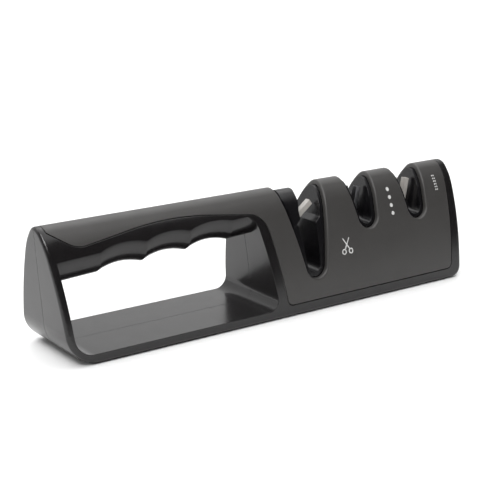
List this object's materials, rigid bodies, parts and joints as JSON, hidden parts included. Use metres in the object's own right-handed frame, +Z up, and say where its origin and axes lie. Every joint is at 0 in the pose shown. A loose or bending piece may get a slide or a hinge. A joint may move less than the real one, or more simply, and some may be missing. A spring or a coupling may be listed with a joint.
{
  "type": "knife and scissors sharpener",
  "caption": "Hand-held pull-through sharpener with a loop handle, a scissors slot and coarse and fine V slots for knives.",
  "frame": {"origin": "middle of the footprint, on the surface that the sharpener stands on", "axes": "+X along the length from the loop handle to the sharpening block, +Y across towards the side away from the picture's near side, +Z up"},
  "size_m": [0.2148, 0.0412, 0.0529],
  "materials": {
    "body_black": "semi-gloss black moulded plastic",
    "cover_grey": "fine-grained dark grey moulded plastic",
    "guide_black": "glossy black moulded plastic",
    "carrier_plastic": "plain black plastic",
    "ceramic": "off-white fine ceramic",
    "carbide": "ground dark grey carbide",
    "steel": "zinc-plated steel",
    "foot_rubber": "matt black rubber"
  },
  "bodies": {
    "root": {"front_body_half": "body_black", "rear_body_half": "body_black", "top_cover": "cover_grey", "scissors_guide": "guide_black", "coarse_guide": "guide_black", "fine_guide": "guide_black", "scissors_front_rest": "guide_black", "scissors_rear_rest": "guide_black", "scissors_bar": "ceramic", "guide_carrier": "carrier_plastic", "clamp_screws": "steel", "module_screws": "steel", "housing_screws": "steel", "coarse_blade_front": "carbide", "coarse_blade_rear": "carbide", "fine_rod_front": "ceramic", "fine_rod_rear": "ceramic", "coarse_blade_front_clamp": "steel", "coarse_blade_rear_clamp": "steel", "fine_rod_front_clamp": "steel", "fine_rod_rear_clamp": "steel", "foot_left_front": "foot_rubber", "foot_left_rear": "foot_rubber", "foot_right_front": "foot_rubber", "foot_right_rear": "foot_rubber"}
  },
  "joints": []
}
